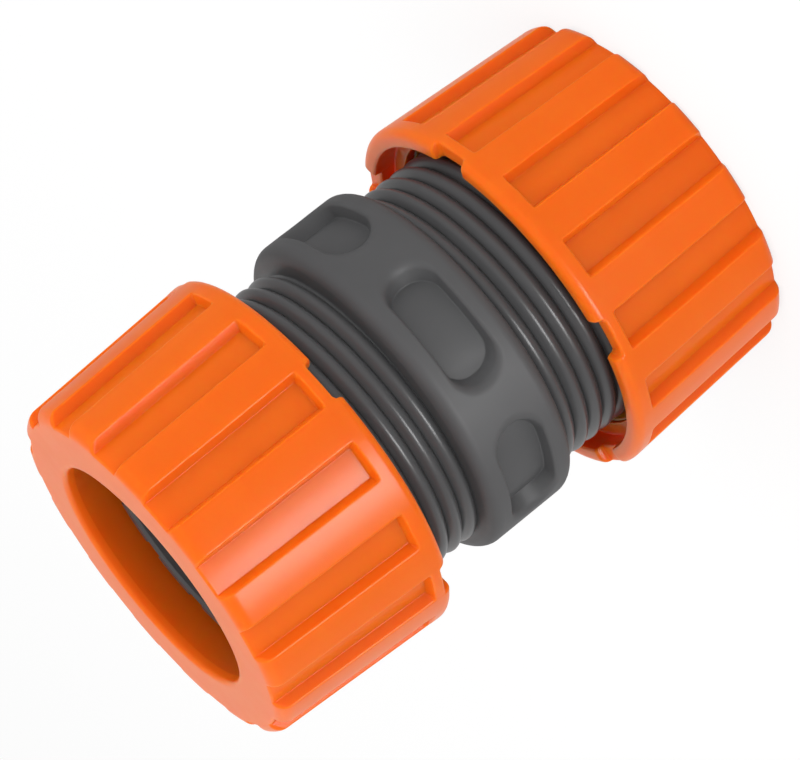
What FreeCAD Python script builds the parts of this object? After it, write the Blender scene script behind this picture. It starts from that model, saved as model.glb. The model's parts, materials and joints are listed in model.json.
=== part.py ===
import FreeCAD
import Part

import math
import os

from FreeCAD import Vector

# Hose mender for a 19 mm garden hose: a moulded core with a threaded sleeve and a hose stem
# at each end, and two clamping nuts. Lengths are in millimetres and angles in degrees.
# It stands on the end face of its lower nut, and the water passage runs along +Z.

# Water passage and hose stems
passage_diameter = 15.0
stem_wall = 1.7
stem_setback = 4.4          # how far the stem tip lies behind the claw tips
stem_nose = 0.8             # chamfer on the stem tip
barb_count = 4
barb_spacing = 4.6
barb_height = 0.6
barb_ramp_length = 2.8      # rises away from the tip
barb_back_length = 0.45     # falls back to the stem behind the crest

# Threaded sleeve round each stem
hose_room = 5.8             # from the stem to the inside of the sleeve
sleeve_wall = 1.9           # under the thread
web_thickness = 7.0         # joins the stems to the sleeves inside the collar
thread_pitch = 2.0
thread_turns = 7
thread_depth = 0.9
thread_crest_width = 0.5
thread_flank_slope = 0.5    # axial run of a flank for each millimetre of its depth

# Claws that close on the hose
claw_count = 12
claw_length = 10.45
claw_root_step = 0.3        # the claws start this far below the thread root
claw_gap_width = 2.2        # between neighbouring claws, closed by a thin web
claw_web_thickness = 0.7    # on the inside of the gaps
claw_lead_in = 0.35
claw_bend_length = 7.2      # over which the inside narrows from the sleeve to the grip
claw_angle = 96.0           # direction of the middle of one claw
hose_wall = 3.8             # the hose between the stem and the closed claws

# Collar between the two threads
collar_rise = 2.04          # crown above the thread crests
collar_crown_width = 9.5
collar_base_width = 13.2
collar_shoulder_radius = 1.3
recess_count = 6
recess_length = 14.9
recess_width = 7.2
recess_depth = 1.85
recess_end_slope = 1.64     # growth of the half length for each millimetre outwards
recess_side_slope = 0.35    # growth of the half width for each millimetre outwards
recess_lip_radius = 0.35
recess_angle = -85.1        # direction of the middle of one recess

# Clamping nuts
nut_length = 22.45
nut_wall = 2.85             # between the thread and the pockets
nut_taper = 0.052           # loss of radius for each millimetre away from the rim
rim_width = 2.25            # plain band beside the pockets
rim_thickness = 2.05
rim_edge_radius = 1.0
end_edge_radius = 1.7
counterbore_depth = 3.0
nut_thread_turns = 3
opening_margin = 1.0        # from the closed claws' grip to the wall of the opening
opening_length = 1.25       # plain bore with its rounded mouth
mouth_radius = 0.35
clamp_cone_length = 10.2    # widens from the opening to the nut's thread
inner_chamfer = 0.3

# Pockets between the grip lands of a nut, and the notches in its rim
pocket_count = 15
pocket_angle = 12.7         # width at the land surface
pocket_depth = 1.3
pocket_draft = 24.0
notch_count = 5             # each stands in line with a pocket
notch_depth = 1.1
notch_corner_radius = 0.4

# Where the nuts stand on the threads
upper_tip_depth = 5.04      # claw tips below the end face of the upper nut
lower_tip_depth = 3.97      # the lower nut is screwed further on
upper_notch_angle = -77.4
lower_notch_angle = -119.3

# Clearances
turning_clearance = 0.25    # between the threads of a nut and the core
claw_clearance = 0.3        # between the claw tips and the clamping cone of the lower nut

# Room by which cutting shapes pass the faces that they cut
overrun = 1.0

# Largest distance at which two computed places count as the same
same_place = 1e-3

# Radii that follow from the sizes above, from the axis outwards
passage_radius = passage_diameter / 2
stem_radius = passage_radius + stem_wall
sleeve_inner_radius = stem_radius + hose_room
thread_root_radius = sleeve_inner_radius + sleeve_wall
thread_crest_radius = thread_root_radius + thread_depth
collar_radius = thread_crest_radius + collar_rise
grip_radius = stem_radius + hose_wall
opening_radius = grip_radius + opening_margin
nut_crest_radius = thread_root_radius + turning_clearance
clamp_cone_slope = (nut_crest_radius - opening_radius) / clamp_cone_length
claw_tip_radius = opening_radius + clamp_cone_slope * (lower_tip_depth - opening_length) - claw_clearance
nut_root_radius = thread_crest_radius + turning_clearance
pocket_floor_radius = nut_root_radius + nut_wall
land_radius = pocket_floor_radius + pocket_depth
counterbore_radius = land_radius - rim_thickness

# Distances from the middle of the collar along either end
web_face = web_thickness / 2
collar_crown_edge = collar_crown_width / 2
thread_start = collar_base_width / 2
thread_end = thread_start + thread_turns * thread_pitch
claw_tip = thread_end + claw_length
stem_tip = claw_tip - stem_setback
upper_face = claw_tip + upper_tip_depth
lower_face = claw_tip + lower_tip_depth

# Height of the middle of the collar above the surface that the fitting stands on
collar_height = lower_face


def polygon_revolved(points):
    """Turn a closed outline of (radius, distance along the axis) pairs round the Z axis."""
    corners = [Vector(radius, 0, along) for radius, along in points]
    outline = Part.makePolygon(corners + [corners[0]])
    return Part.Face(outline).revolve(Vector(0, 0, 0), Vector(0, 0, 1), 360)


def copies_around(shape, count, first_angle):
    """Copies of a shape evenly spaced round the Z axis."""
    copies = []
    for index in range(count):
        copy = shape.copy()
        copy.rotate(Vector(0, 0, 0), Vector(0, 0, 1), first_angle + index * 360.0 / count)
        copies.append(copy)
    return copies


def ring_edges(shape, radius, along):
    """The circular edges of a revolved shape at one radius and one distance."""
    found = []
    for edge in shape.Edges:
        if not isinstance(edge.Curve, Part.Circle):
            continue
        same_radius = abs(edge.Curve.Radius - radius) < same_place
        if same_radius and abs(edge.Curve.Center.z - along) < same_place:
            found.append(edge)
    return found


def thread_ridge(tip_radius, foot_radius, middle, crest_width):
    """Outline of one thread ridge, listed with the distance falling."""
    flank = abs(foot_radius - tip_radius) * thread_flank_slope
    half_crest = crest_width / 2
    return [
        (foot_radius, middle + half_crest + flank),
        (tip_radius, middle + half_crest),
        (tip_radius, middle - half_crest),
        (foot_radius, middle - half_crest - flank),
    ]


def stem_outline():
    """Stem from its bore at the tip, over the barbs, down to the web."""
    crest = stem_radius + barb_height
    points = [(passage_radius, stem_tip), (stem_radius - stem_nose / 2, stem_tip)]
    for index in range(barb_count):
        top = stem_tip - stem_nose - index * barb_spacing
        crest_end = top - barb_ramp_length
        points.append((stem_radius, top))
        points.append((crest, crest_end))
        points.append((stem_radius, crest_end - barb_back_length))
    points.append((stem_radius, web_face))
    return points


def sleeve_outline():
    """Sleeve from the web along its inside, over the claw tips and down the thread."""
    points = [
        (sleeve_inner_radius, web_face),
        (sleeve_inner_radius, thread_end),
        (grip_radius, thread_end + claw_bend_length),
        (grip_radius, claw_tip - claw_lead_in),
        (grip_radius + claw_lead_in, claw_tip),
        (claw_tip_radius, claw_tip),
        (thread_root_radius - claw_root_step, thread_end),
        (thread_root_radius, thread_end),
    ]
    for index in reversed(range(thread_turns)):
        middle = thread_start + (index + 0.5) * thread_pitch
        points += thread_ridge(thread_crest_radius, thread_root_radius, middle, thread_crest_width)
    points.append((thread_root_radius, thread_start))
    points.append((collar_radius, collar_crown_edge))
    return points


def core_blank():
    """The turned form of the core, the same at both ends, about the middle of the collar."""
    upper_half = stem_outline() + sleeve_outline()
    lower_half = [(radius, -along) for radius, along in reversed(upper_half)]
    blank = polygon_revolved(upper_half + lower_half)
    shoulders = ring_edges(blank, collar_radius, collar_crown_edge)
    shoulders += ring_edges(blank, collar_radius, -collar_crown_edge)
    return blank.makeFillet(collar_shoulder_radius, shoulders)


def obround(distance, half_length, half_width):
    """Closed outline with round ends, standing across the X axis at a distance."""
    straight = half_length - half_width
    left_low = Vector(distance, -straight, -half_width)
    left_high = Vector(distance, -straight, half_width)
    right_low = Vector(distance, straight, -half_width)
    right_high = Vector(distance, straight, half_width)
    right_arc = Part.Arc(right_low, Vector(distance, half_length, 0), right_high)
    left_arc = Part.Arc(left_high, Vector(distance, -half_length, 0), left_low)
    edges = [
        Part.makeLine(left_low, right_low),
        right_arc.toShape(),
        Part.makeLine(right_high, left_high),
        left_arc.toShape(),
    ]
    return Part.Wire(edges)


def recess_cutter():
    """Oblong finger recess with sloping walls and a floor concentric with the collar."""
    floor_radius = collar_radius - recess_depth
    lip_distance = math.sqrt(collar_radius ** 2 - (recess_length / 2) ** 2)
    outlines = []
    for distance in (floor_radius - overrun, collar_radius + overrun):
        half_length = recess_length / 2 + recess_end_slope * (distance - lip_distance)
        half_width = recess_width / 2 + recess_side_slope * (distance - collar_radius)
        outlines.append(obround(distance, half_length, half_width))
    sloping = Part.makeLoft(outlines, True, True)
    floor = Part.makeCylinder(floor_radius, 2 * recess_width, Vector(0, 0, -recess_width))
    return sloping.cut(floor)


def gap_cutter():
    """One gap between two claws of the upper sleeve, with a round root, outside the webs."""
    root = thread_end + claw_gap_width / 2
    outer = thread_crest_radius + overrun
    height = claw_tip + overrun - root
    corner = Vector(grip_radius, -claw_gap_width / 2, root)
    straight = Part.makeBox(outer - grip_radius, claw_gap_width, height, corner)
    round_root = Part.makeCylinder(
        claw_gap_width / 2, outer - grip_radius, Vector(grip_radius, 0, root), Vector(1, 0, 0))
    return straight.fuse(round_root).cut(web_ring())


def web_ring():
    """Everything inside the outer surface of the webs that join the claws."""
    wide = sleeve_inner_radius + claw_web_thickness
    narrow = grip_radius + claw_web_thickness
    bend = thread_end + claw_bend_length
    return polygon_revolved([
        (0, thread_end - overrun),
        (wide, thread_end - overrun),
        (wide, thread_end),
        (narrow, bend),
        (narrow, claw_tip + 2 * overrun),
        (0, claw_tip + 2 * overrun),
    ])


def make_core():
    """Stems, sleeves, claws and collar, moulded in one piece."""
    core = core_blank()
    first_gap = claw_angle + 180.0 / claw_count
    upper_gaps = copies_around(gap_cutter(), claw_count, first_gap)
    lower_gaps = [gap.mirror(Vector(0, 0, 0), Vector(0, 0, 1)) for gap in upper_gaps]
    core = core.cut(upper_gaps + lower_gaps)
    core = core.cut(copies_around(recess_cutter(), recess_count, recess_angle))
    return core.makeFillet(recess_lip_radius, recess_lips(core))


def recess_lips(core):
    """The edges where the recesses break the crown of the collar."""
    lips = []
    for edge in core.Edges:
        middle = edge.valueAt((edge.FirstParameter + edge.LastParameter) / 2)
        on_crown = abs(math.hypot(middle.x, middle.y) - collar_radius) < same_place
        inside_recess = abs(middle.z) < recess_width / 2 + same_place
        if on_crown and inside_recess and not is_seam(edge):
            lips.append(edge)
    return lips


def is_seam(edge):
    """Whether an edge runs straight along the axis, as the seam of a turned face does."""
    start = edge.valueAt(edge.FirstParameter)
    end = edge.valueAt(edge.LastParameter)
    return math.hypot(start.x - end.x, start.y - end.y) < same_place


def nut_radius_at(base_radius, along, face):
    """Radius of a tapering surface that has its base radius where the pockets begin."""
    pocket_start = face - nut_length + rim_width
    return base_radius - nut_taper * (along - pocket_start)


def nut_thread_outline(lowest, highest):
    """The nut's own ridges, each midway between two ridges of the core."""
    points = []
    room = (thread_depth + turning_clearance) * thread_flank_slope
    first = math.ceil((lowest + room - thread_start) / thread_pitch)
    for index in range(first, first + nut_thread_turns):
        middle = thread_start + index * thread_pitch
        if middle < highest - room:
            points += reversed(nut_ridge(middle))
    return points


def nut_ridge(middle):
    """Ridge that leaves an equal gap to the flanks of the core's ridges."""
    height = nut_root_radius - nut_crest_radius
    free_width = thread_pitch - thread_crest_width - 2 * thread_depth * thread_flank_slope
    crest_width = free_width / 2
    return thread_ridge(nut_crest_radius, nut_crest_radius + height, middle, crest_width)


def nut_blank(face):
    """The turned form of a nut whose end face lies at a distance from the collar's middle."""
    rim = face - nut_length
    cone_start = face - opening_length
    cone_end = cone_start - clamp_cone_length
    counterbore_floor = rim + counterbore_depth
    points = [
        (nut_radius_at(land_radius, face, face), face),
        (opening_radius, face),
        (opening_radius, cone_start),
        (nut_crest_radius, cone_end),
        (nut_root_radius, cone_end),
    ]
    points += reversed(nut_thread_outline(counterbore_floor, cone_end))
    points += [
        (nut_root_radius, counterbore_floor),
        (counterbore_radius, counterbore_floor),
        (counterbore_radius, rim + inner_chamfer),
        (counterbore_radius + inner_chamfer, rim),
        (nut_radius_at(land_radius, rim, face), rim),
    ]
    blank = polygon_revolved(points)
    rounded = [
        (rim_edge_radius, nut_radius_at(land_radius, rim, face), rim),
        (end_edge_radius, nut_radius_at(land_radius, face, face), face),
        (mouth_radius, opening_radius, face),
    ]
    for size, radius, along in rounded:
        blank = blank.makeFillet(size, ring_edges(blank, radius, along))
    return blank


def pocket_section(along, face):
    """Section of one pocket's cutting wedge, with its drafted sides."""
    land = nut_radius_at(land_radius, along, face)
    half_angle = math.radians(pocket_angle / 2)
    corner_distance = land * math.cos(half_angle)
    corner_half_width = land * math.sin(half_angle)
    draft = math.tan(math.radians(pocket_draft))
    corners = []
    for step in (overrun, -pocket_depth - overrun):
        distance = corner_distance + step
        half_width = corner_half_width + step * draft
        corners.append((distance, half_width))
    outer, inner = corners
    points = [
        Vector(outer[0], outer[1], along),
        Vector(outer[0], -outer[1], along),
        Vector(inner[0], -inner[1], along),
        Vector(inner[0], inner[1], along),
    ]
    return Part.makePolygon(points + [points[0]])


def pocket_band(face):
    """Ring of material that the pockets take from the nut, with a drafted end wall."""
    start = face - nut_length + rim_width
    end = face + overrun
    end_wall = pocket_depth * math.tan(math.radians(pocket_draft)) / 2
    return polygon_revolved([
        (nut_radius_at(pocket_floor_radius, start, face), start + end_wall),
        (nut_radius_at(land_radius, start, face) + overrun, start - end_wall),
        (nut_radius_at(land_radius, end, face) + overrun, end),
        (nut_radius_at(pocket_floor_radius, end, face), end),
    ])


def notch_cutter(face):
    """Notch across the rim, a pocket wide, with small round corners."""
    rim = face - nut_length
    width = 2 * land_radius * math.sin(math.radians(pocket_angle / 2))
    inner = counterbore_radius - overrun
    depth = land_radius + overrun - inner
    block = Part.makeBox(
        depth, width, notch_depth + overrun, Vector(inner, -width / 2, rim - overrun))
    corners = []
    for edge in block.Edges:
        middle = edge.CenterOfMass
        on_floor = abs(middle.z - rim - notch_depth) < same_place
        if on_floor and abs(abs(middle.y) - width / 2) < same_place:
            corners.append(edge)
    return block.makeFillet(notch_corner_radius, corners)


def make_nut(face, notch_angle):
    """Clamping nut with grip lands, in the direction away from the collar."""
    nut = nut_blank(face)
    sections = []
    for along in (face - nut_length + rim_width - overrun, face + 2 * overrun):
        sections.append(pocket_section(along, face))
    wedge = Part.makeLoft(sections, True, True)
    pocket = wedge.common(pocket_band(face))
    nut = nut.cut(copies_around(pocket, pocket_count, notch_angle))
    return nut.cut(copies_around(notch_cutter(face), notch_count, notch_angle))


def build():
    """Every piece in its place, named by what it is."""
    core = make_core()
    upper_nut = make_nut(upper_face, upper_notch_angle)
    lower_nut = make_nut(lower_face, -lower_notch_angle)
    lower_nut.rotate(Vector(0, 0, 0), Vector(1, 0, 0), 180)
    pieces = {"core": core, "upper_nut": upper_nut, "lower_nut": lower_nut}
    for shape in pieces.values():
        shape.translate(Vector(0, 0, collar_height))
    return pieces


os.makedirs("parts", exist_ok=True)
for name, shape in build().items():
    solid = shape.Solids[0]
    solid.exportStep("parts/" + name + ".step")
    box = solid.BoundBox
    print(name, "valid", solid.isValid(), "solids", len(shape.Solids), "faces", len(solid.Faces))
    print("  volume %.1f" % solid.Volume, "z %.2f to %.2f" % (box.ZMin, box.ZMax),
          "radius %.2f" % box.XMax)
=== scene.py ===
import json
import math

import bmesh
import bpy
from bpy.props import FloatProperty, FloatVectorProperty, IntProperty, PointerProperty
from mathutils import Matrix, Vector


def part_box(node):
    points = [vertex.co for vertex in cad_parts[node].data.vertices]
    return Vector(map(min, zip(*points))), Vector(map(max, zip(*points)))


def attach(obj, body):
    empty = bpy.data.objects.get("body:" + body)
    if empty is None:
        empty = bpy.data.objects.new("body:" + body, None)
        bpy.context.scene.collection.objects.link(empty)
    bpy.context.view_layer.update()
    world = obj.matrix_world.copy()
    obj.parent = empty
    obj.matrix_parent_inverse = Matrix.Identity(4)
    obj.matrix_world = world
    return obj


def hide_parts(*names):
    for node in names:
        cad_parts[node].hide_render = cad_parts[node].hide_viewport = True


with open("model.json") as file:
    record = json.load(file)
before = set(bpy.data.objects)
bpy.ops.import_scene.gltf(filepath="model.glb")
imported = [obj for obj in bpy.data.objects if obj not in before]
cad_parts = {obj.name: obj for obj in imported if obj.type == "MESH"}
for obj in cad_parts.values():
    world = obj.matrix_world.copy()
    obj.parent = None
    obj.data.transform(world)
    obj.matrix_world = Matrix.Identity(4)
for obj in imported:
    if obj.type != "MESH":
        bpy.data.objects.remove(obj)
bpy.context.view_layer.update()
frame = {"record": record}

bl_info = {
    "name": "Hose mender",
    "version": (1, 0, 0),
    "blender": (4, 5, 0),
    "location": "View3D > Sidebar > Hose mender",
    "description": "Models a threaded hose mender with claws and two clamping nuts",
    "category": "Add Mesh",
}

# The fitting stands on the end face of its lower nut, with its water passage along +Z.
# Lengths are in metres and angles in degrees, unless a property has its own unit.
MM = 0.001

# What model.json and the parts of model.glb give
MOUNTS = {mount["name"]: mount for mount in frame["record"]["mounts"]}
CORE_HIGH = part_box("core")[1]
UPPER_LOW, UPPER_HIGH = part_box("upper_nut")
LOWER_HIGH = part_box("lower_nut")[1]
COLLAR_HEIGHT = MOUNTS["water_passage"]["pos_m"][2]
PASSAGE_RADIUS = MOUNTS["water_passage"]["dims"]["r_mm"] * MM
OPENING_RADIUS = MOUNTS["hose_entry_upper"]["dims"]["r_mm"] * MM
GRIP_RADIUS = MOUNTS["hose_grip_upper"]["dims"]["r_mm"] * MM
CLAW_TIP = CORE_HIGH.z - COLLAR_HEIGHT
STEM_TIP = MOUNTS["hose_stem_upper"]["pos_m"][2] - COLLAR_HEIGHT

# Vertices closer than this are one
SAME_PLACE = 2e-6

# Radii of the edges that a user would not change
KNIFE_EDGE = 0.08 * MM
SHARP_EDGE = 0.1 * MM
NECK_EDGE = 0.15 * MM
BROKEN_EDGE = 0.2 * MM
COUNTERBORE_EDGE = 0.25 * MM
SMALL_FILLET = 0.3 * MM
FILLET = 0.4 * MM

# The picture that the camera is set for, in pixels and millimetres
PICTURE_WIDTH = 800
SENSOR_WIDTH = 36.0


def linear(hex_code):
    """Linear colour of an sRGB hex value."""
    channels = [int(hex_code[index:index + 2], 16) / 255 for index in (1, 3, 5)]
    return [c / 12.92 if c <= 0.04045 else ((c + 0.055) / 1.055) ** 2.4 for c in channels]


def length(name, description, millimetres):
    """A length that the user can change, kept in metres."""
    return FloatProperty(
        name=name, description=description, default=millimetres * MM, unit="LENGTH", precision=5)


def angle(name, description, degrees):
    """An angle that the user can change, kept in radians."""
    return FloatProperty(
        name=name, description=description, default=math.radians(degrees), subtype="ANGLE")


def colour(name, description, hex_code):
    """A colour that the user can change."""
    return FloatVectorProperty(
        name=name, description=description, default=linear(hex_code), subtype="COLOR", size=3,
        min=0.0, max=1.0)


class NutSizes(bpy.types.PropertyGroup):
    """Sizes of a clamping nut, the same moulding at both ends."""

    land_radius: length("Land radius", "Outside of the grip lands where the pockets begin", 22.24)
    taper: FloatProperty(name="Taper", description="Loss of radius away from the rim", default=0.056)
    rim_width: length("Rim width", "Plain band beside the pockets", 2.25)
    rim_thickness: length("Rim thickness", "Wall of the rim round the counterbore", 2.05)
    rim_edge: length("Rim edge", "Radius of the rim's outer edge", 1.0)
    rim_inner_edge: length("Rim inner edge", "Radius of the rim's inner edge", 0.35)
    end_edge: length("End edge", "Radius at the far ends of the lands", 1.5)
    pocket_count: IntProperty(name="Pockets", description="Pockets between the lands", default=15)
    pocket_angle: angle("Pocket angle", "Width of a pocket at the land surface", 12.7)
    pocket_depth: length("Pocket depth", "From the land surface to the pocket's floor", 1.3)
    side_run: length("Side run", "How far a pocket's side wall leans", 0.46)
    end_run: length("End run", "How far a pocket's end wall leans", 0.33)
    land_edge: length("Land edge", "Radius along the edges of the lands", 0.24)
    pocket_foot: length("Pocket foot", "Radius along the foot of a pocket's walls", 0.12)
    pocket_end_edge: length("Pocket end edge", "Radius where a pocket runs out at the face", 0.3)
    notch_every: IntProperty(name="Notch every", description="Pockets from notch to notch", default=3)
    notch_depth: length("Notch depth", "Depth of the notches in the rim", 0.98)
    notch_run: length("Notch run", "How far a notch's side leans", 0.2)
    notch_edge: length("Notch edge", "Radius along the notches", 0.32)
    notch_margin: length("Notch margin", "How far a notch reaches past its pocket", 0.09)
    counterbore_depth: length("Counterbore depth", "From the rim to the thread", 3.0)
    opening_length: length("Opening length", "Plain bore at the opening", 1.25)
    mouth_radius: length("Mouth radius", "Radius round the opening", 0.55)
    cone_length: length("Cone length", "Cone that closes the claws", 10.2)
    cone_radius: length("Cone radius", "Wide end of the cone", 17.15)
    thread_root: length("Thread root", "Root radius of the inside thread", 18.6)
    thread_crest: length("Thread crest", "Crest radius, which clears the core's thread", 17.95)
    thread_turns: FloatProperty(name="Thread turns", description="Turns of thread", default=3.3)
    upper_notch: angle("Upper notch", "Direction of one notch of the upper nut", -77.4)
    lower_notch: angle("Lower notch", "Direction of one notch of the lower nut", -118.1)


class CoreSizes(bpy.types.PropertyGroup):
    """Sizes of the core: stems, sleeves, threads, claws and collar."""

    stem_radius: length("Stem radius", "Outside of the hose stems", 9.2)
    barb_count: IntProperty(name="Barbs", description="Barbs on each stem", default=4)
    barb_spacing: length("Barb spacing", "From barb to barb", 4.6)
    barb_height: length("Barb height", "Height of a barb above the stem", 0.6)
    barb_ramp: length("Barb ramp", "Length of a barb's slope", 2.8)
    barb_back: length("Barb back", "Length of a barb's back", 0.45)
    stem_nose: length("Stem nose", "Chamfer on a stem's tip", 0.8)
    web_face: length("Web face", "From the collar's middle to the face of the web", 3.5)
    sleeve_inside: length("Sleeve inside", "Inner radius of the sleeves", 15.0)
    thread_root: length("Thread root", "Root radius of the threads", 16.9)
    thread_crest: length("Thread crest", "Crest radius of the threads", 17.8)
    thread_pitch: length("Thread pitch", "Advance of a thread in one turn", 2.0)
    thread_start: length("Thread start", "From the collar's middle to the threads", 6.05)
    thread_end: length("Thread end", "From the collar's middle to the claws", 20.6)
    runout: angle("Run-out", "Turn over which a thread fades at its ends", 60)
    upper_crest: length("Upper crest", "Height of the upper thread's first crest at its angle", 7.04)
    upper_crest_angle: angle("Upper crest angle", "Direction of that crest", -103)
    lower_crest: length("Lower crest", "Height of the lower thread's first crest at its angle", -6.92)
    lower_crest_angle: angle("Lower crest angle", "Direction of that crest", -104)
    claw_count: IntProperty(name="Claws", description="Claws at each end", default=12)
    claw_gap: length("Claw gap", "Width of the gaps between the claws", 2.2)
    claw_web: length("Claw web", "Thickness of the webs on the inside of the gaps", 0.7)
    claw_lead_in: length("Claw lead-in", "Chamfer inside the claws' tips", 0.35)
    claw_root: length("Claw root", "Outer radius of the claws at the sleeve", 16.6)
    claw_tip: length("Claw tip", "Outer radius of the claws at their tips", 14.54)
    claw_bend: length("Claw bend", "Height where the claws' inside meets the grip", 27.8)
    claw_edge: length("Claw edge", "Radius along the edges of the claws", 0.22)
    claw_angle: angle("Claw angle", "Direction of the middle of one claw", 96)
    collar_radius: length("Collar radius", "Outside of the collar", 19.88)
    crown_edge: length("Crown edge", "Half the width of the collar's crown", 5.68)
    shoulder_radius: length("Shoulder radius", "Radius along the collar's shoulders", 1.6)
    recess_count: IntProperty(name="Recesses", description="Finger recesses", default=6)
    recess_length: length("Recess length", "Along the collar, measured on its surface", 15.46)
    recess_width: length("Recess width", "Across the collar", 6.1)
    recess_depth: length("Recess depth", "Depth at the middle of a finger recess", 1.8)
    recess_bulge: length("Recess bulge", "How much deeper the floor lies at its ends", 0.35)
    recess_end_run: length("Recess end run", "How far the end walls lean", 1.15)
    recess_side_run: length("Recess side run", "How far the side walls lean", 0.15)
    recess_end_lip: length("Recess end lip", "Radius over the end walls", 1.5)
    recess_side_lip: length("Recess side lip", "Radius over the side walls", 0.45)
    recess_foot: length("Recess foot", "Radius round a recess's floor", 0.2)
    recess_angle: angle("Recess angle", "Direction of the middle of one recess", -85.1)


class Finishes(bpy.types.PropertyGroup):
    """Colours of the mouldings."""

    nut_plastic: colour("Nut plastic", "Orange of the clamping nuts", "#E36B15")
    nut_shade: colour("Nut shade", "Deeper orange of the mottling", "#DF640E")
    core_plastic: colour("Core plastic", "Grey of the core", "#4F4F50")
    core_shade: colour("Core shade", "Darker grey of the mottling", "#4A4A4B")


class StageSettings(bpy.types.PropertyGroup):
    """Camera and light."""

    distance: length("Distance", "From the camera to the middle of the picture", 416.0)
    focal_pixels: FloatProperty(name="Focal length", description="In pixels", default=3896.0)
    elevation: angle("Elevation", "Height of the camera above the horizon", 16.53)
    roll: angle("Roll", "Turn of the camera about its own line of sight", 128.45)
    aim_side: length("Aim side", "Sideways place of the middle of the picture", -0.08)
    aim_height: length("Aim height", "Middle of the picture above the collar's middle", 1.49)
    floor_size: length("Floor size", "Width of the floor", 6000.0)
    ambient: FloatProperty(name="Ambient", description="Light from all round", default=0.72)
    front: FloatProperty(name="Front", description="Watts of each lamp in front", default=0.70)
    above: FloatProperty(name="Above", description="Watts of the lamp above", default=2.3)
    sheen: FloatProperty(name="Sheen", description="Watts of the lamp for the sheen", default=0.25)


def row_layer(bm):
    """The vertices' place along the outline that was turned."""
    return bm.verts.layers.int.get("row") or bm.verts.layers.int.new("row")


def round_corner(before, corner, after, radius, steps):
    """Arc of a given radius that takes the place of a corner."""
    first = (before - corner).normalized()
    second = (after - corner).normalized()
    half = first.angle(second) / 2
    tangent = radius / math.tan(half)
    centre = corner + (first + second).normalized() * radius / math.sin(half)
    start = corner + first * tangent - centre
    end = corner + second * tangent - centre
    turn = start.angle_signed(end)
    points = []
    for step in range(steps + 1):
        turned = start.copy()
        turned.rotate(Matrix.Rotation(-turn * step / steps, 2))
        points.append(centre + turned)
    return points


def rounded(corners, closed=True):
    """Outline through corners of (radius, height, edge radius, steps of the edge)."""
    places = [Vector(corner[:2]) for corner in corners]
    points = []
    for index, (place, corner) in enumerate(zip(places, corners)):
        edge, steps = corner[2:]
        at_end = not closed and index in (0, len(corners) - 1)
        if steps == 0 or at_end:
            points.append(place)
            continue
        before = places[index - 1]
        after = places[(index + 1) % len(places)]
        points += round_corner(before, place, after, edge, steps)
    return points


def rounded_step(run, depth, top_radius, foot_radius, steps):
    """A wall with rounded top and foot, as pairs of distance and share of its depth."""
    slope = math.atan2(depth, run)
    top_tangent = top_radius * math.tan(slope / 2)
    foot_tangent = foot_radius * math.tan(slope / 2)
    pairs = []
    for step in range(steps + 1):
        turn = slope * step / steps
        along = -top_tangent + top_radius * math.sin(turn)
        pairs.append((along, top_radius * (1 - math.cos(turn)) / depth))
    for step in range(steps + 1):
        turn = slope * (1 - step / steps)
        along = run + foot_tangent - foot_radius * math.sin(turn)
        pairs.append((along, 1 - foot_radius * (1 - math.cos(turn)) / depth))
    return pairs


def share_at(pairs, distance):
    """Share of the depth that a rounded step has reached at a distance."""
    if distance <= pairs[0][0]:
        return 0.0
    for (low, low_share), (high, high_share) in zip(pairs, pairs[1:]):
        if distance <= high:
            return low_share + (high_share - low_share) * (distance - low) / (high - low)
    return 1.0


def turned_outline(outline, steps, sweep=math.tau, rise=0.0):
    """Mesh of a closed outline turned round Z from the +X direction."""
    full_turn = sweep == math.tau and rise == 0
    bm = bmesh.new()
    row = row_layer(bm)
    loop = bmesh.ops.create_circle(bm, segments=len(outline), radius=1.0)["verts"]
    for index, (vert, (radius, height)) in enumerate(zip(loop, outline)):
        vert.co = (radius, 0.0, height)
        vert[row] = index
    bmesh.ops.spin(
        bm, geom=bm.verts[:] + bm.edges[:], cent=(0, 0, 0), axis=(0, 0, 1),
        dvec=(0, 0, rise / steps), angle=sweep, steps=steps, use_merge=full_turn)
    return bm


def place_at(vert, radius, direction, height):
    """Put a vertex at cylindrical coordinates."""
    vert.co = (radius * math.cos(direction), radius * math.sin(direction), height)


def add_mesh(bm, other):
    """Add another mesh to this one and free it."""
    carrier = bpy.data.meshes.new("carrier")
    other.to_mesh(carrier)
    other.free()
    bm.from_mesh(carrier)
    bpy.data.meshes.remove(carrier)


def turn_about_z(bm, geometry, turn):
    """Turn some vertices about the axis."""
    verts = [item for item in geometry if isinstance(item, bmesh.types.BMVert)]
    bmesh.ops.rotate(bm, cent=(0, 0, 0), matrix=Matrix.Rotation(turn, 3, "Z"), verts=verts)


def repeat_around(bm, count):
    """Repeat the whole mesh evenly about the axis."""
    original = bm.verts[:] + bm.edges[:] + bm.faces[:]
    for index in range(1, count):
        copy = bmesh.ops.duplicate(bm, geom=original)["geom"]
        turn_about_z(bm, copy, math.tau * index / count)


def tidy_normals(bm):
    """Merge doubles and point every face outwards."""
    bmesh.ops.remove_doubles(bm, verts=bm.verts[:], dist=SAME_PLACE)
    bmesh.ops.recalc_face_normals(bm, faces=bm.faces[:])


def make_piece(name, bm, material):
    """Object of a finished mesh, smooth, with its place in the mesh."""
    mesh = bpy.data.meshes.new(name)
    bm.to_mesh(mesh)
    bm.free()
    mesh.materials.append(material)
    mesh.shade_smooth()
    piece = bpy.data.objects.new(name, mesh)
    bpy.context.scene.collection.objects.link(piece)
    weighted = piece.modifiers.new("Flat faces stay flat", "WEIGHTED_NORMAL")
    weighted.weight = 60
    return piece


# Edges across the back of a thread ridge
RIDGE_STEPS = 12

# A ridge's feet stand this far off the cylinder that carries it, clear of the cylinder's facets
RIDGE_LIFT = 0.05 * MM

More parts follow.
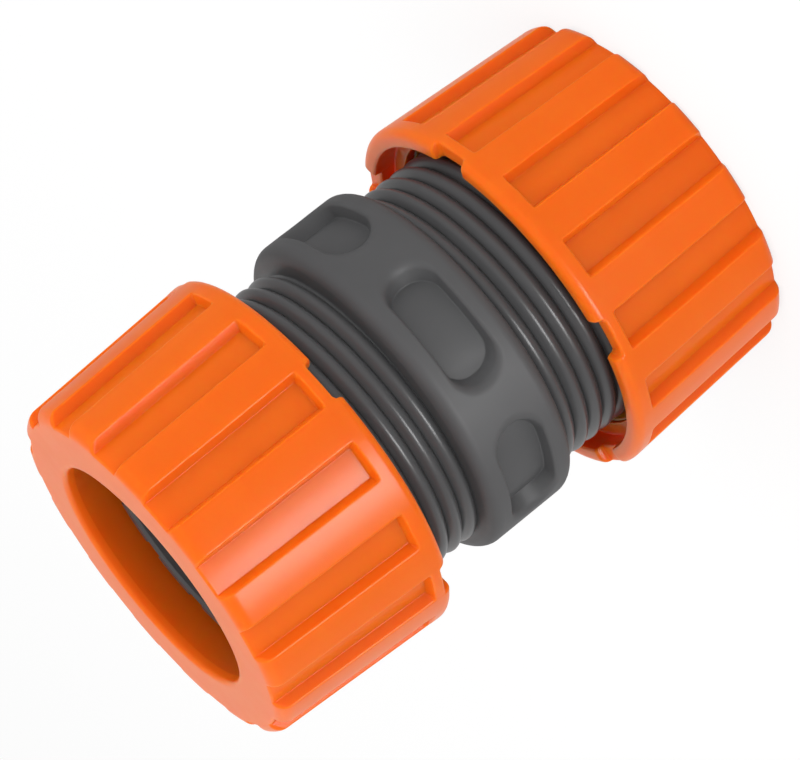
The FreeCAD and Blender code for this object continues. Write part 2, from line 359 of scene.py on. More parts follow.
# How far a ridge's underside is sunk into that cylinder
RIDGE_SUNK = 0.15 * MM

# Half the gap between one turn of a ridge and the next
RIDGE_GAP = 0.01 * MM

# Share of its height that a ridge begins and ends with
RIDGE_START = 0.04

# Edges in one turn of the nuts' and the core's threads
NUT_THREAD_STEPS = 90
CORE_THREAD_STEPS = 120


def ridge_mesh(root, crest, pitch, runout, turns, steps_per_turn):
    """Helical thread ridge with a round back, from height 0, which fades at both ends.

    It stands on the outside of a cylinder, or on its inside where the crest is below the root.
    """
    outward = math.copysign(1, crest - root)
    sunk = root - outward * RIDGE_SUNK
    foot = root + outward * RIDGE_LIFT
    half = pitch / 2 - RIDGE_GAP
    outline = [Vector((sunk, -half))]
    for step in range(RIDGE_STEPS + 1):
        across = 2 * step / RIDGE_STEPS - 1
        outline.append(Vector((foot + (crest - foot) * (1 - across ** 2), across * half)))
    outline.append(Vector((sunk, half)))
    steps = round(turns * steps_per_turn)
    bm = turned_outline(outline, steps, math.tau * turns, pitch * turns)
    row = row_layer(bm)
    fade_turns = runout / math.tau
    for vert in bm.verts:
        radius, height = outline[vert[row]]
        progress = (vert.co.z - height) / pitch
        share = min(progress, turns - progress) / fade_turns
        share = max(RIDGE_START, min(1.0, share))
        share = math.sin(share * math.pi / 2)
        direction = math.atan2(vert.co.y, vert.co.x)
        place_at(vert, sunk + (radius - sunk) * share, direction, vert.co.z)
    ends = [edge for edge in bm.edges if len(edge.link_faces) == 1]
    bmesh.ops.holes_fill(bm, edges=ends, sides=0)
    return bm


# An edge loop lies this far beside a rounding, so that the flat beyond it stays flat
BESIDE = 0.12 * MM

# Edges along each rounding of a pocket's or a notch's walls
WALL_STEPS = 4

# Rows along a pocket's floor
FLOOR_ROWS = 4


def nut_columns(sizes):
    """Columns of one pocket and its land: direction, share of pocket and share of notch."""
    walls = rounded_step(
        sizes.side_run, sizes.pocket_depth, sizes.land_edge, sizes.pocket_foot, WALL_STEPS)
    notch = rounded_step(
        sizes.notch_run, sizes.notch_depth, sizes.notch_edge, sizes.notch_edge, WALL_STEPS)
    half_pocket = sizes.pocket_angle / 2
    half_pitch = math.pi / sizes.pocket_count
    distances = [walls[0][0] - 3 * BESIDE, walls[0][0] - BESIDE]
    distances += [distance for distance, share in walls]
    distances.append(walls[-1][0] + BESIDE)
    half = []
    for distance in distances:
        direction = half_pocket - distance / sizes.land_radius
        notch_share = share_at(notch, distance + sizes.notch_margin)
        half.append((direction, share_at(walls, distance), notch_share))
    land_mid = (half[0][0] + half_pitch) / 2
    floor_mid = half[-1][0] / 2
    half = [(land_mid, 0.0, 0.0)] + half + [(floor_mid, 1.0, 1.0)]
    before = [(-direction, pocket, notch) for direction, pocket, notch in half]
    return [(-half_pitch, 0.0, 0.0)] + before + [(0.0, 1.0, 1.0)] + half[::-1]


def nut_outline(sizes, nut_length, pocket, notch):
    """Section of a nut with its rim at height 0, for a share of pocket and of notch."""
    rim = sizes.notch_depth * notch
    counterbore = sizes.land_radius - sizes.rim_thickness
    rim_edge = sizes.rim_edge + (SMALL_FILLET - sizes.rim_edge) * notch
    end_edge = sizes.end_edge + (sizes.pocket_end_edge - sizes.end_edge) * pocket
    cone_start = nut_length - sizes.opening_length
    cone_end = cone_start - sizes.cone_length

    def land(height):
        return sizes.land_radius - sizes.taper * (height - sizes.rim_width)

    def surface(height, share=1.0):
        return land(height) - sizes.pocket_depth * pocket * share

    corners = [
        (counterbore, rim, sizes.rim_inner_edge, 3),
        (land(rim), rim, rim_edge, 6),
    ]
    wall = rounded_step(
        sizes.end_run, sizes.pocket_depth, sizes.land_edge, sizes.pocket_foot, WALL_STEPS)
    rows = [(wall[0][0] - BESIDE, 0.0)] + wall + [(wall[-1][0] + BESIDE, 1.0)]
    for distance, share in rows:
        height = sizes.rim_width + distance
        corners.append((surface(height, share), height, 0, 0))
    last_wall = corners[-1][1]
    straight_end = nut_length - sizes.end_edge - BESIDE
    for step in range(1, FLOOR_ROWS + 1):
        height = last_wall + (straight_end - last_wall) * step / FLOOR_ROWS
        corners.append((surface(height), height, 0, 0))
    face_edge = land(nut_length) - sizes.end_edge
    mouth_edge = OPENING_RADIUS + sizes.mouth_radius
    corners += [
        (surface(nut_length), nut_length, end_edge, 8),
        (face_edge - 2 * BESIDE, nut_length, 0, 0),
        ((face_edge + mouth_edge) / 2, nut_length, 0, 0),
        (mouth_edge + 2 * BESIDE, nut_length, 0, 0),
        (OPENING_RADIUS, nut_length, sizes.mouth_radius, 5),
        (OPENING_RADIUS, cone_start, NECK_EDGE, 2),
        (sizes.cone_radius, cone_end, SHARP_EDGE, 2),
        (sizes.thread_root, cone_end, SHARP_EDGE, 2),
        (sizes.thread_root, sizes.counterbore_depth, BROKEN_EDGE, 2),
        (counterbore, sizes.counterbore_depth, COUNTERBORE_EDGE, 3),
    ]
    return rounded(corners)


def nut_mesh(sizes, nut_length):
    """Clamping nut with its rim at height 0 and a notch in the +X direction."""
    columns = nut_columns(sizes)
    total = len(columns) * sizes.pocket_count
    bm = turned_outline(nut_outline(sizes, nut_length, 0.0, 0.0), total)
    outlines = {}
    for index, (direction, pocket, notch) in enumerate(columns):
        outlines[index, False] = nut_outline(sizes, nut_length, pocket, 0.0)
        outlines[index, True] = nut_outline(sizes, nut_length, pocket, notch)
    row = row_layer(bm)
    for vert in bm.verts:
        turn = math.atan2(vert.co.y, vert.co.x) % math.tau
        column = round(turn / math.tau * total) % total
        pocket_index, index = divmod(column, len(columns))
        notched = pocket_index % sizes.notch_every == 0
        radius, height = outlines[index, notched][vert[row]]
        direction = columns[index][0] + math.tau * pocket_index / sizes.pocket_count
        place_at(vert, radius, direction, height)
    core_sizes = bpy.context.scene.mender_core
    ridge = ridge_mesh(
        sizes.thread_root, sizes.thread_crest, core_sizes.thread_pitch, core_sizes.runout,
        sizes.thread_turns, NUT_THREAD_STEPS)
    ridge_start = sizes.counterbore_depth + core_sizes.thread_pitch / 2
    bmesh.ops.translate(ridge, vec=(0, 0, ridge_start), verts=ridge.verts[:])
    add_mesh(bm, ridge)
    tidy_normals(bm)
    return bm


# Plain strip between a recess's patch and the rounding of the shoulder
CROWN_MARGIN = 0.05 * MM


def core_outline(sizes):
    """Half section of the core from its crown at the top, over the stem, to its crown below."""
    opened = crown_opening(sizes)
    top = STEM_TIP - sizes.stem_nose
    half = [
        (sizes.collar_radius, opened, 0, 0),
        (sizes.collar_radius, sizes.crown_edge, sizes.shoulder_radius, 8),
        (sizes.thread_root, sizes.thread_start, SMALL_FILLET, 3),
        (sizes.thread_root, sizes.thread_end, SHARP_EDGE, 1),
        (sizes.sleeve_inside, sizes.thread_end, SHARP_EDGE, 1),
        (sizes.sleeve_inside, sizes.web_face, FILLET, 3),
        (sizes.stem_radius, sizes.web_face, FILLET, 3),
    ]
    for index in reversed(range(sizes.barb_count)):
        crest = top - index * sizes.barb_spacing - sizes.barb_ramp
        half.append((sizes.stem_radius, crest - sizes.barb_back, SHARP_EDGE, 2))
        half.append((sizes.stem_radius + sizes.barb_height, crest, KNIFE_EDGE, 2))
        half.append((sizes.stem_radius, crest + sizes.barb_ramp, 0, 0))
    half += [
        (sizes.stem_radius - sizes.stem_nose / 2, STEM_TIP, BROKEN_EDGE, 2),
        (PASSAGE_RADIUS, STEM_TIP, NECK_EDGE, 2),
    ]
    mirrored = [(radius, -height, edge, steps) for radius, height, edge, steps in reversed(half)]
    return rounded(half + mirrored, closed=False)


def crown_opening(sizes):
    """Half the width of the crown's part that carries the recesses."""
    flank_run = sizes.thread_start - sizes.crown_edge
    flank_drop = sizes.collar_radius - sizes.thread_root
    tangent = sizes.shoulder_radius * math.tan(math.atan2(flank_drop, flank_run) / 2)
    return sizes.crown_edge - tangent - CROWN_MARGIN


# Edges along the long and the short sides of a recess's loops
LONG_SIDE = 40
SHORT_SIDE = 16

# Loops from a recess's rectangle to its outline, as parts of the way
PATCH_PARTS = (0.0, 0.35, 0.7, 0.9)

# Loops over a recess's floor, as parts of its width: the last one closes the floor
FLOOR_PARTS = (0.7, 0.35, 1e-4)

# Vertices of that last loop closer than this are one
FLOOR_CLOSED = 5e-6

# Edges along each rounding of a recess's walls
RECESS_STEPS = 7

# A recess's length over the distance from its middle at which the floor is deepest
FLOOR_REACH = 2.4


def rectangle_point(index, half_length, half_width):
    """Corner to corner round a rectangle, from its lower left corner."""
    if index >= LONG_SIDE + SHORT_SIDE:
        along, across = rectangle_point(index - LONG_SIDE - SHORT_SIDE, half_length, half_width)
        return -along, -across
    if index < LONG_SIDE:
        return -half_length + 2 * half_length * index / LONG_SIDE, -half_width
    return half_length, -half_width + 2 * half_width * (index - LONG_SIDE) / SHORT_SIDE


def obround_point(index, half_length, half_width):
    """The matching place on an outline with round ends, and which way it faces there."""
    if index >= LONG_SIDE + SHORT_SIDE:
        opposite = obround_point(index - LONG_SIDE - SHORT_SIDE, half_length, half_width)
        return tuple(-vector for vector in opposite)
    centre = half_length - half_width
    eighth = math.pi / 4 * half_width
    position = 2 * (centre + eighth) * index / LONG_SIDE
    if index >= LONG_SIDE:
        turn = math.radians(315) + math.radians(90) * (index - LONG_SIDE) / SHORT_SIDE
    elif position < eighth:
        centre = -centre
        turn = math.radians(225) + position / half_width
    elif position <= eighth + 2 * centre:
        return Vector((position - eighth - centre, -half_width)), Vector((0, -1))
    else:
        turn = math.radians(270) + (position - eighth - 2 * centre) / half_width
    facing = Vector((math.cos(turn), math.sin(turn)))
    return Vector((centre, 0)) + half_width * facing, facing


def recess_loops(sizes):
    """Loops of a recess from its rectangle inwards, as places with their share of its depth."""
    count = 2 * (LONG_SIDE + SHORT_SIDE)
    half_length = sizes.recess_length / 2
    half_width = sizes.recess_width / 2
    end_depth = sizes.recess_depth + sizes.recess_bulge
    ends = rounded_step(
        sizes.recess_end_run, end_depth, sizes.recess_end_lip, sizes.recess_foot, RECESS_STEPS)
    sides = rounded_step(
        sizes.recess_side_run, sizes.recess_depth, sizes.recess_side_lip, sizes.recess_foot,
        RECESS_STEPS)
    walls = []
    for (end_distance, end_share), (side_distance, side_share) in zip(ends, sides):
        loop = []
        for index in range(count):
            place, facing = obround_point(
                index, half_length - end_distance, half_width - side_distance)
            loop.append((place, side_share + (end_share - side_share) * facing.x ** 2))
        walls.append(loop)
    half_patch = math.pi / sizes.recess_count * sizes.collar_radius
    opened = crown_opening(sizes)
    rectangle = [Vector(rectangle_point(index, half_patch, opened)) for index in range(count)]
    loops = []
    for part in PATCH_PARTS:
        loops.append([
            (corner.lerp(place, part), 0.0) for corner, (place, share) in zip(rectangle, walls[0])])
    loops += walls
    foot_width = half_width - sides[-1][0]
    centre = half_length - ends[-1][0] - foot_width
    for part in FLOOR_PARTS:
        loop = []
        for place, share in walls[-1]:
            middle = Vector((max(-centre, min(centre, place.x)), 0))
            loop.append((middle.lerp(place, part), 1.0))
        loops.append(loop)
    return loops


def recess_depth_at(sizes, along):
    """Depth of the floor at a distance from the middle of its recess."""
    toward_end = min(1.0, (FLOOR_REACH * along / sizes.recess_length) ** 4)
    return sizes.recess_depth + sizes.recess_bulge * toward_end


def crown_mesh(sizes):
    """The collar's crown: one patch with its recess, repeated round the collar."""
    bm = bmesh.new()
    row = row_layer(bm)
    loops = recess_loops(sizes)
    ring = bmesh.ops.create_circle(bm, segments=len(loops[0]), radius=1.0)["verts"]
    for index, vert in enumerate(ring):
        vert[row] = index
    edges = bm.edges[:]
    for number, loop in enumerate(loops):
        if number > 0:
            made = bmesh.ops.extrude_edge_only(bm, edges=edges)["geom"]
            ring = [item for item in made if isinstance(item, bmesh.types.BMVert)]
            edges = [item for item in made if isinstance(item, bmesh.types.BMEdge)]
        for vert in ring:
            (along, across), share = loop[vert[row]]
            depth = share * recess_depth_at(sizes, along)
            direction = sizes.recess_angle + along / sizes.collar_radius
            place_at(vert, sizes.collar_radius - depth, direction, across)
    bmesh.ops.remove_doubles(bm, verts=bm.verts[:], dist=FLOOR_CLOSED)
    repeat_around(bm, sizes.recess_count)
    return bm


def body_mesh(sizes):
    """Everything on the core that is turned: shoulders, sleeves, web and stems."""
    outline = core_outline(sizes)
    columns = LONG_SIDE * sizes.recess_count
    bm = bmesh.new()
    loop = bmesh.ops.create_circle(bm, segments=len(outline), radius=1.0)["verts"]
    for vert, (radius, height) in zip(loop, outline):
        vert.co = (radius, 0.0, height)
    closing = [edge for edge in bm.edges if loop[0] in edge.verts and loop[-1] in edge.verts]
    bmesh.ops.delete(bm, geom=closing, context="EDGES")
    start = sizes.recess_angle - math.pi / sizes.recess_count
    turn_about_z(bm, bm.verts[:], start)
    bmesh.ops.spin(
        bm, geom=bm.verts[:] + bm.edges[:], cent=(0, 0, 0), axis=(0, 0, 1), dvec=(0, 0, 0),
        angle=math.tau, steps=columns, use_merge=True)
    return bm


def thread_mesh(sizes, low, high, crest_height, crest_angle):
    """One right-handed thread between two heights, with a crest at a given place."""
    turns = (high - low) / sizes.thread_pitch
    bm = ridge_mesh(
        sizes.thread_root, sizes.thread_crest, sizes.thread_pitch, sizes.runout, turns,
        CORE_THREAD_STEPS)
    start_angle = crest_angle + math.tau * (low - crest_height) / sizes.thread_pitch
    turn_about_z(bm, bm.verts[:], start_angle)
    bmesh.ops.translate(bm, vec=(0, 0, low), verts=bm.verts[:])
    return bm


# How far the claws reach into the sleeve that carries them
CLAW_SUNK = 0.4 * MM

# How far a gap's sides lean, and the fillet at their foot
GAP_LEAN = 0.1 * MM
GAP_FOOT = 0.12 * MM

# Width of the strip beside a gap, and the columns from there to the claw's middle
CLAW_STRIP = 0.5 * MM
CLAW_PARTS = (0.0, 0.4, 0.75)

# Threads stop this far before the claws
THREAD_STOP = 0.5 * MM


def claw_outline(sizes, share):
    """Section of the claws of the upper end, from a web with share 0 to a claw with share 1."""
    sunk = sizes.thread_end - CLAW_SUNK
    bend = (sizes.claw_bend - sizes.thread_end) / (CLAW_TIP - sizes.thread_end)
    web_root = sizes.sleeve_inside + sizes.claw_web
    web_tip = GRIP_RADIUS + sizes.claw_web
    claw_middle = sizes.claw_root + (sizes.claw_tip - sizes.claw_root) * bend
    root = web_root + (sizes.claw_root - web_root) * share
    middle = web_tip + (claw_middle - web_tip) * share
    tip = web_tip + (sizes.claw_tip - web_tip) * share
    return rounded([
        (sizes.sleeve_inside, sunk, 0, 0),
        (root, sunk, 0, 0),
        (root, sizes.thread_end, 0, 0),
        (middle, sizes.claw_bend, 0, 0),
        (tip, CLAW_TIP, sizes.claw_edge, 3),
        (GRIP_RADIUS + sizes.claw_lead_in, CLAW_TIP, KNIFE_EDGE, 2),
        (GRIP_RADIUS, CLAW_TIP - sizes.claw_lead_in, KNIFE_EDGE, 2),
        (GRIP_RADIUS, sizes.claw_bend, FILLET, 2),
        (sizes.sleeve_inside, sizes.thread_end, 0, 0),
    ])


def claw_columns(sizes):
    """Columns of one claw and the gap before it: distance from the gap's middle, part of the
    way from there to the claw's middle, and share of claw."""
    height = sizes.claw_tip - GRIP_RADIUS - sizes.claw_web
    wall = rounded_step(GAP_LEAN, height, sizes.claw_edge, GAP_FOOT, 3)
    half_gap = sizes.claw_gap / 2
    half = [(0.0, 0.0, 0.0), ((half_gap - wall[-1][0]) / 2, 0.0, 0.0)]
    half += [(half_gap - distance, 0.0, 1 - share) for distance, share in reversed(wall)]
    edge = half_gap + CLAW_STRIP
    half += [(edge, part, 1.0) for part in CLAW_PARTS]
    after = [(-distance, part, share) for distance, part, share in reversed(half[1:])]
    return half + [(edge, 1.0, 1.0)] + after


def claws_mesh(sizes):
    """The ring of claws of the upper end, joined by thin webs."""
    columns = claw_columns(sizes)
    total = len(columns) * sizes.claw_count
    pitch = math.tau / sizes.claw_count
    bm = turned_outline(claw_outline(sizes, 1.0), total)
    row = row_layer(bm)
    outlines = [claw_outline(sizes, share) for distance, part, share in columns]
    for vert in bm.verts:
        turn = math.atan2(vert.co.y, vert.co.x) % math.tau
        gap, index = divmod(round(turn / math.tau * total) % total, len(columns))
        radius, height = outlines[index][vert[row]]
        distance, part = columns[index][:2]
        side = math.copysign(1, distance)
        beside = math.asin(abs(distance) / radius)
        direction = side * (beside + (pitch / 2 - beside) * part)
        start = sizes.claw_angle + pitch * (gap - 0.5) + (pitch if side < 0 else 0.0)
        place_at(vert, radius, start + direction, height)
    return bm


def core_mesh(sizes):
    """The whole core about the middle of its collar."""
    bm = body_mesh(sizes)
    add_mesh(bm, crown_mesh(sizes))
    reach = sizes.thread_end - THREAD_STOP - sizes.thread_start
    threads = [
        (sizes.thread_start, sizes.upper_crest, sizes.upper_crest_angle),
        (-sizes.thread_start - reach, sizes.lower_crest, sizes.lower_crest_angle),
    ]
    for low, crest_height, crest_angle in threads:
        add_mesh(bm, thread_mesh(sizes, low, low + reach, crest_height, crest_angle))
    add_mesh(bm, claws_mesh(sizes))
    lower_claws = claws_mesh(sizes)
    bmesh.ops.scale(lower_claws, vec=(1, 1, -1), verts=lower_claws.verts[:])
    add_mesh(bm, lower_claws)
    tidy_normals(bm)
    return bm


def add_node(tree, kind, settings=None, links=None):
    """Add a node with its settings, and link sockets to its inputs."""
    node = tree.nodes.new(kind)
    for name, value in (settings or {}).items():
        if name in node.inputs:
            node.inputs[name].default_value = value
        else:
            setattr(node, name, value)
    for name, source in (links or {}).items():
        if isinstance(source, bpy.types.NodeSocket):
            tree.links.new(source, node.inputs[name])
        else:
            node.inputs[name].default_value = source
    return node


# Sizes of the patterns on the mouldings, and heights of the two in relief
FLOW_SIZE = 6 * MM
POLISH_SIZE = 2.5 * MM
WAVE_SIZE = 3.5 * MM
WAVE_HEIGHT = 0.04 * MM
GRAIN_SIZE = 0.25 * MM
GRAIN_HEIGHT = 0.01 * MM

# How much rougher and smoother than its mean the polish gets
POLISH_SPREAD = 0.04

# From the collar's middle to where its texture starts to fade and to where it ends
TEXTURE_FADE = 5.4 * MM
TEXTURE_END = 6.2 * MM

# How far light passes through the plastic, and the share of that for red, green and blue
GLOW_REACH = 3.5 * MM
GLOW_SHARES = (1.0, 0.4, 0.11)

# Finishes of the core and of the nuts, in the terms that moulded_abs explains
GREY_FINISH = {"roughness": 0.32, "mirror": 0.32, "glow": 0.0, "collar_texture": 0.26}
ORANGE_FINISH = {"roughness": 0.30, "mirror": 0.22, "glow": 0.9, "collar_texture": 0.0}


def moulded_abs(name, main, shade, finish):
    """Injection-moulded ABS: even colour under a satin gloss, faintly mottled and grained.

    The mould's spark-eroded grain is about 0.05 mm and is drawn at 0.25 mm, so that it shows.
    The mottling follows the flow of the melt, over some millimetres. A finish gives the
    roughness, how strongly the surface mirrors, how much light goes into the plastic and out
    again, which makes thin walls glow, and how much rougher the mould is round the collar,
    where it is textured for grip.
    """
    material = bpy.data.materials.new(name)
    material.use_nodes = True
    tree = material.node_tree
    tree.nodes.clear()
    place = add_node(tree, "ShaderNodeTexCoord").outputs["Object"]
    flow = add_node(
        tree, "ShaderNodeTexNoise", {"Scale": 1 / FLOW_SIZE, "Detail": 2.0}, {"Vector": place})
    tint = add_node(
        tree, "ShaderNodeMixRGB", {"Color1": (*main, 1), "Color2": (*shade, 1)},
        {"Fac": flow.outputs["Fac"]})
    polish = add_node(
        tree, "ShaderNodeTexNoise", {"Scale": 1 / POLISH_SIZE, "Detail": 3.0}, {"Vector": place})
    gloss = add_node(
        tree, "ShaderNodeMapRange",
        {"To Min": finish["roughness"] - POLISH_SPREAD,
         "To Max": finish["roughness"] + POLISH_SPREAD},
        {"Value": polish.outputs["Fac"]}).outputs["Result"]
    if finish["collar_texture"] > 0:
        height = add_node(tree, "ShaderNodeSeparateXYZ", None, {"Vector": place}).outputs["Z"]
        offset = add_node(
            tree, "ShaderNodeMath", {"operation": "SUBTRACT"}, {0: height, 1: COLLAR_HEIGHT})
        beside = add_node(
            tree, "ShaderNodeMath", {"operation": "ABSOLUTE"}, {0: offset.outputs["Value"]})
        texture = add_node(
            tree, "ShaderNodeMapRange",
            {"From Min": TEXTURE_FADE, "From Max": TEXTURE_END,
             "To Min": finish["collar_texture"], "To Max": 0.0},
            {"Value": beside.outputs["Value"]})
        gloss = add_node(
            tree, "ShaderNodeMath", {"operation": "ADD"},
            {0: gloss, 1: texture.outputs["Result"]}).outputs["Value"]
    waves = add_node(
        tree, "ShaderNodeTexNoise", {"Scale": 1 / WAVE_SIZE, "Detail": 1.0}, {"Vector": place})
    wavy = add_node(
        tree, "ShaderNodeBump", {"Strength": 0.25, "Distance": WAVE_HEIGHT},
        {"Height": waves.outputs["Fac"]})
    grain = add_node(
        tree, "ShaderNodeTexNoise", {"Scale": 1 / GRAIN_SIZE, "Detail": 2.0}, {"Vector": place})
    grained = add_node(
        tree, "ShaderNodeBump", {"Strength": 0.3, "Distance": GRAIN_HEIGHT},
        {"Height": grain.outputs["Fac"], "Normal": wavy.outputs["Normal"]})
    shader = add_node(
        tree, "ShaderNodeBsdfPrincipled",
        {"IOR": 1.53, "Specular IOR Level": finish["mirror"], "Subsurface Weight": finish["glow"],
         "Subsurface Radius": GLOW_SHARES, "Subsurface Scale": GLOW_REACH},
        {"Base Color": tint.outputs["Color"], "Roughness": gloss,
         "Normal": grained.outputs["Normal"]})
    add_node(tree, "ShaderNodeOutputMaterial", None, {"Surface": shader.outputs["BSDF"]})
    return material


# Share of plain white in what the camera sees of the floor, where the rest takes the shadow
SHARE_OF_WHITE = 0.8


def studio_floor_material():
    """Matt white card: white to the camera, with the object's faint shadow."""
    material = bpy.data.materials.new("studio_card")
    material.use_nodes = True
    tree = material.node_tree
    tree.nodes.clear()
    rays = add_node(tree, "ShaderNodeLightPath")
    card = add_node(tree, "ShaderNodeBsdfDiffuse", {"Color": (0.86, 0.86, 0.86, 1)})
    glow = add_node(tree, "ShaderNodeEmission", {"Strength": 1.03})
    share = add_node(
        tree, "ShaderNodeMath", {"operation": "MULTIPLY"},
        {0: rays.outputs["Is Camera Ray"], 1: SHARE_OF_WHITE})
    mix = add_node(
        tree, "ShaderNodeMixShader", None,
        {0: share.outputs["Value"], 1: card.outputs["BSDF"], 2: glow.outputs["Emission"]})
    add_node(tree, "ShaderNodeOutputMaterial", None, {"Surface": mix.outputs["Shader"]})
    return material


# Direction of the bright backdrop that the gloss mirrors
BACKDROP = Vector((-0.5, 0.85, 0.1)).normalized()


def set_world(ambient):
    """Pale studio all round: white to the camera, even as light, and in reflections a bright
    backdrop behind the object and to its left, with a dimmer room in front of it."""
    world = bpy.data.worlds.new("studio")
    bpy.context.scene.world = world
    world.use_nodes = True
    tree = world.node_tree
    tree.nodes.clear()
    rays = add_node(tree, "ShaderNodeLightPath")
    looking = add_node(tree, "ShaderNodeTexCoord").outputs["Generated"]
    toward_backdrop = add_node(
        tree, "ShaderNodeVectorMath", {"operation": "DOT_PRODUCT"}, {0: looking, 1: BACKDROP})
    mirrored = add_node(
        tree, "ShaderNodeMapRange",
        {"interpolation_type": "SMOOTHSTEP", "From Min": 0.1, "From Max": 0.85, "To Min": 0.3,
         "To Max": 0.8},
        {"Value": toward_backdrop.outputs["Value"]})
    lighting = add_node(
        tree, "ShaderNodeMix", {"A": ambient},
        {"Factor": rays.outputs["Is Glossy Ray"], "B": mirrored.outputs["Result"]})
    strength = add_node(
        tree, "ShaderNodeMix", {"B": 1.0},
        {"Factor": rays.outputs["Is Camera Ray"], "A": lighting.outputs["Result"]})
    sky = add_node(
        tree, "ShaderNodeBackground", {"Color": (1, 1, 1, 1)},
        {"Strength": strength.outputs["Result"]})
    add_node(tree, "ShaderNodeOutputWorld", None, {"Surface": sky.outputs["Background"]})


def camera_axes(stage):
    """Right, up and backward directions of the rolled camera."""
    right = Vector((1, 0, 0))
    up = Vector((0, math.sin(stage.elevation), math.cos(stage.elevation)))
    back = Vector((0, -math.cos(stage.elevation), math.sin(stage.elevation)))
    across = math.cos(stage.roll) * right - math.sin(stage.roll) * up
    upwards = math.sin(stage.roll) * right + math.cos(stage.roll) * up
    return across, upwards, back


def add_camera(stage):
    """The camera of the picture, rolled about its line of sight."""
    across, upwards, back = camera_axes(stage)
    aim = Vector((stage.aim_side, 0, COLLAR_HEIGHT + stage.aim_height))
    data = bpy.data.cameras.new("picture_camera")
    data.sensor_fit = "HORIZONTAL"
    data.sensor_width = SENSOR_WIDTH
    data.lens = stage.focal_pixels * SENSOR_WIDTH / PICTURE_WIDTH
    data.clip_start = 10 * MM
    camera = bpy.data.objects.new("picture_camera", data)
    rotation = Matrix((across, upwards, back)).transposed()
    camera.matrix_world = Matrix.Translation(aim + back * stage.distance) @ rotation.to_4x4()
    bpy.context.scene.collection.objects.link(camera)
    bpy.context.scene.camera = camera


# Direction from what each kind of lamp shines on, its distance and its size
SHEEN_LAMP = {"toward": (-0.556, -0.815, -0.165), "distance": 0.15, "size": (0.070, 0.075)}
FRONT_LAMP = {"toward": (0, -0.974, 0.225), "distance": 0.7, "size": (0.3, 0.3)}
ABOVE_LAMP = {"toward": (0, -0.25, 0.97), "distance": 0.8, "size": (0.5, 0.5)}

# The place on the upper nut where the sheen lies, and the turns of the lamps in front
SHEEN_PLACE = Vector((-0.0059, -0.0213, 0.052))
FRONT_TURNS = (-70, -23, 23, 70)


def add_lamp(name, kind, aim, power, turn=0.0, sheen=False):
    """Soft lamp that shines on a place: a sheen lamp shows in the gloss, the others only light."""
    toward = Matrix.Rotation(turn, 3, "Z") @ Vector(kind["toward"])
    place = aim + kind["distance"] * toward
    data = bpy.data.lights.new(name, "AREA")
    data.shape = "RECTANGLE"
    data.size, data.size_y = kind["size"]
    data.energy = power
    lamp = bpy.data.objects.new(name, data)
    rotation = (aim - place).to_track_quat("-Z", "Y").to_matrix().to_4x4()
    lamp.matrix_world = Matrix.Translation(place) @ rotation
    lamp.visible_camera = False
    lamp.visible_diffuse = not sheen
    lamp.visible_glossy = sheen
    bpy.context.scene.collection.objects.link(lamp)


class MESH_OT_mender_core(bpy.types.Operator):
    """Model the core with its collar, threads, claws and hose stems"""

    bl_idname = "mesh.mender_core"
    bl_label = "Core"

    def execute(self, context):
        sizes = context.scene.mender_core
        finishes = context.scene.mender_finishes
        material = moulded_abs(
            "grey_abs", finishes.core_plastic, finishes.core_shade, GREY_FINISH)
        bm = core_mesh(sizes)
        bmesh.ops.translate(bm, vec=(0, 0, COLLAR_HEIGHT), verts=bm.verts[:])
        piece = make_piece("core_moulding", bm, material)
        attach(piece, "core")
        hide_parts("core")
        return {"FINISHED"}


class MESH_OT_mender_nuts(bpy.types.Operator):
    """Model the two clamping nuts, which are the same moulding"""

    bl_idname = "mesh.mender_nuts"
    bl_label = "Clamping nuts"

    def execute(self, context):
        sizes = context.scene.mender_nut
        finishes = context.scene.mender_finishes
        material = moulded_abs(
            "orange_abs", finishes.nut_plastic, finishes.nut_shade, ORANGE_FINISH)
        upper = nut_mesh(sizes, UPPER_HIGH.z - UPPER_LOW.z)
        lower = upper.copy()
        turn_about_z(upper, upper.verts[:], sizes.upper_notch)
        bmesh.ops.translate(upper, vec=(0, 0, UPPER_LOW.z), verts=upper.verts[:])
        turn_about_z(lower, lower.verts[:], -sizes.lower_notch)
        flip = Matrix.Rotation(math.pi, 3, "X")
        bmesh.ops.rotate(lower, cent=(0, 0, 0), matrix=flip, verts=lower.verts[:])
        bmesh.ops.translate(lower, vec=(0, 0, LOWER_HIGH.z), verts=lower.verts[:])
        for node, bm in (("upper_nut", upper), ("lower_nut", lower)):
            piece = make_piece(node + "_moulding", bm, material)
            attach(piece, node)
            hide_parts(node)
        return {"FINISHED"}


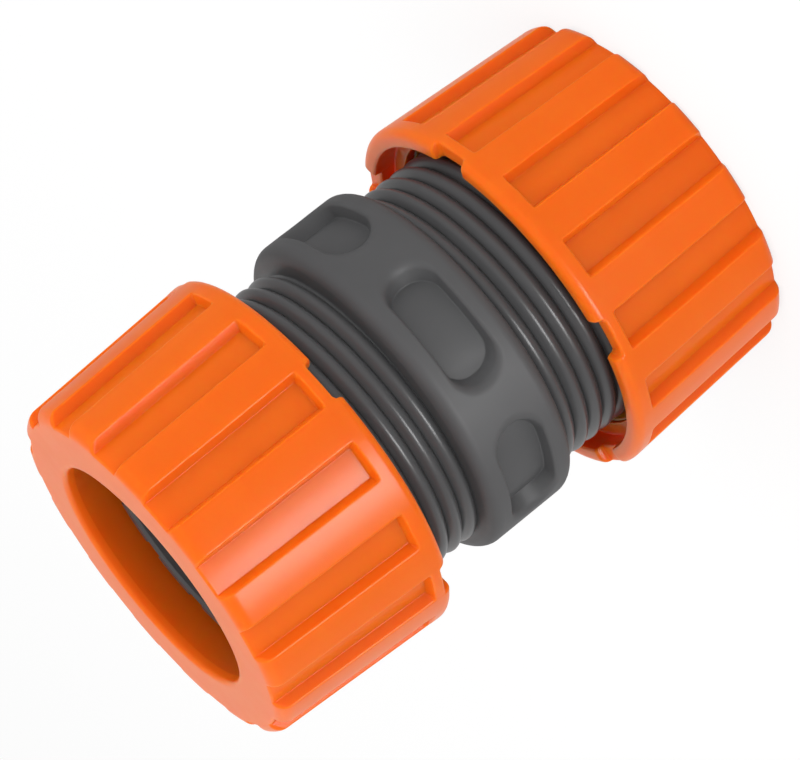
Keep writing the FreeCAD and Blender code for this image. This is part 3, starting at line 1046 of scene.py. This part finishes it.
class SCENE_OT_mender_stage(bpy.types.Operator):
    """Set up the white floor, the soft light and the camera"""

    bl_idname = "scene.mender_stage"
    bl_label = "Stage"

    def execute(self, context):
        stage = context.scene.mender_stage
        bm = bmesh.new()
        bmesh.ops.create_grid(bm, x_segments=1, y_segments=1, size=stage.floor_size / 2)
        mesh = bpy.data.meshes.new("floor")
        bm.to_mesh(mesh)
        bm.free()
        mesh.materials.append(studio_floor_material())
        floor = bpy.data.objects.new("floor", mesh)
        context.scene.collection.objects.link(floor)
        floor.visible_glossy = False
        set_world(stage.ambient)
        add_camera(stage)
        middle = Vector((0, 0, COLLAR_HEIGHT))
        add_lamp("sheen", SHEEN_LAMP, SHEEN_PLACE, stage.sheen, sheen=True)
        for number, turn in enumerate(FRONT_TURNS):
            add_lamp("front_%d" % number, FRONT_LAMP, middle, stage.front, math.radians(turn))
        add_lamp("above", ABOVE_LAMP, middle, stage.above)
        context.scene.view_settings.view_transform = "Standard"
        return {"FINISHED"}


class VIEW3D_PT_mender(bpy.types.Panel):
    """Sizes, colours and steps of the hose mender"""

    bl_label = "Hose mender"
    bl_idname = "VIEW3D_PT_mender"
    bl_space_type = "VIEW_3D"
    bl_region_type = "UI"
    bl_category = "Hose mender"

    def draw(self, context):
        for operator in ("mesh.mender_core", "mesh.mender_nuts", "scene.mender_stage"):
            self.layout.operator(operator)
        for group_name, group_class in GROUPS.items():
            box = self.layout.box()
            box.label(text=group_class.__doc__)
            for name in group_class.__annotations__:
                box.prop(getattr(context.scene, group_name), name)


GROUPS = {
    "mender_core": CoreSizes,
    "mender_nut": NutSizes,
    "mender_finishes": Finishes,
    "mender_stage": StageSettings,
}
CLASSES = (MESH_OT_mender_core, MESH_OT_mender_nuts, SCENE_OT_mender_stage, VIEW3D_PT_mender)


def register():
    """Register the sizes, the steps and the panel."""
    for name, group in GROUPS.items():
        bpy.utils.register_class(group)
        setattr(bpy.types.Scene, name, PointerProperty(type=group))
    for cls in CLASSES:
        bpy.utils.register_class(cls)


def unregister():
    """Take them all away again."""
    for cls in reversed(CLASSES):
        bpy.utils.unregister_class(cls)
    for name, group in reversed(GROUPS.items()):
        delattr(bpy.types.Scene, name)
        bpy.utils.unregister_class(group)


def main():
    """Build the object and its stage."""
    register()
    bpy.ops.mesh.mender_core()
    bpy.ops.mesh.mender_nuts()
    bpy.ops.scene.mender_stage()
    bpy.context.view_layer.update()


if __name__ == "__main__":
    main()
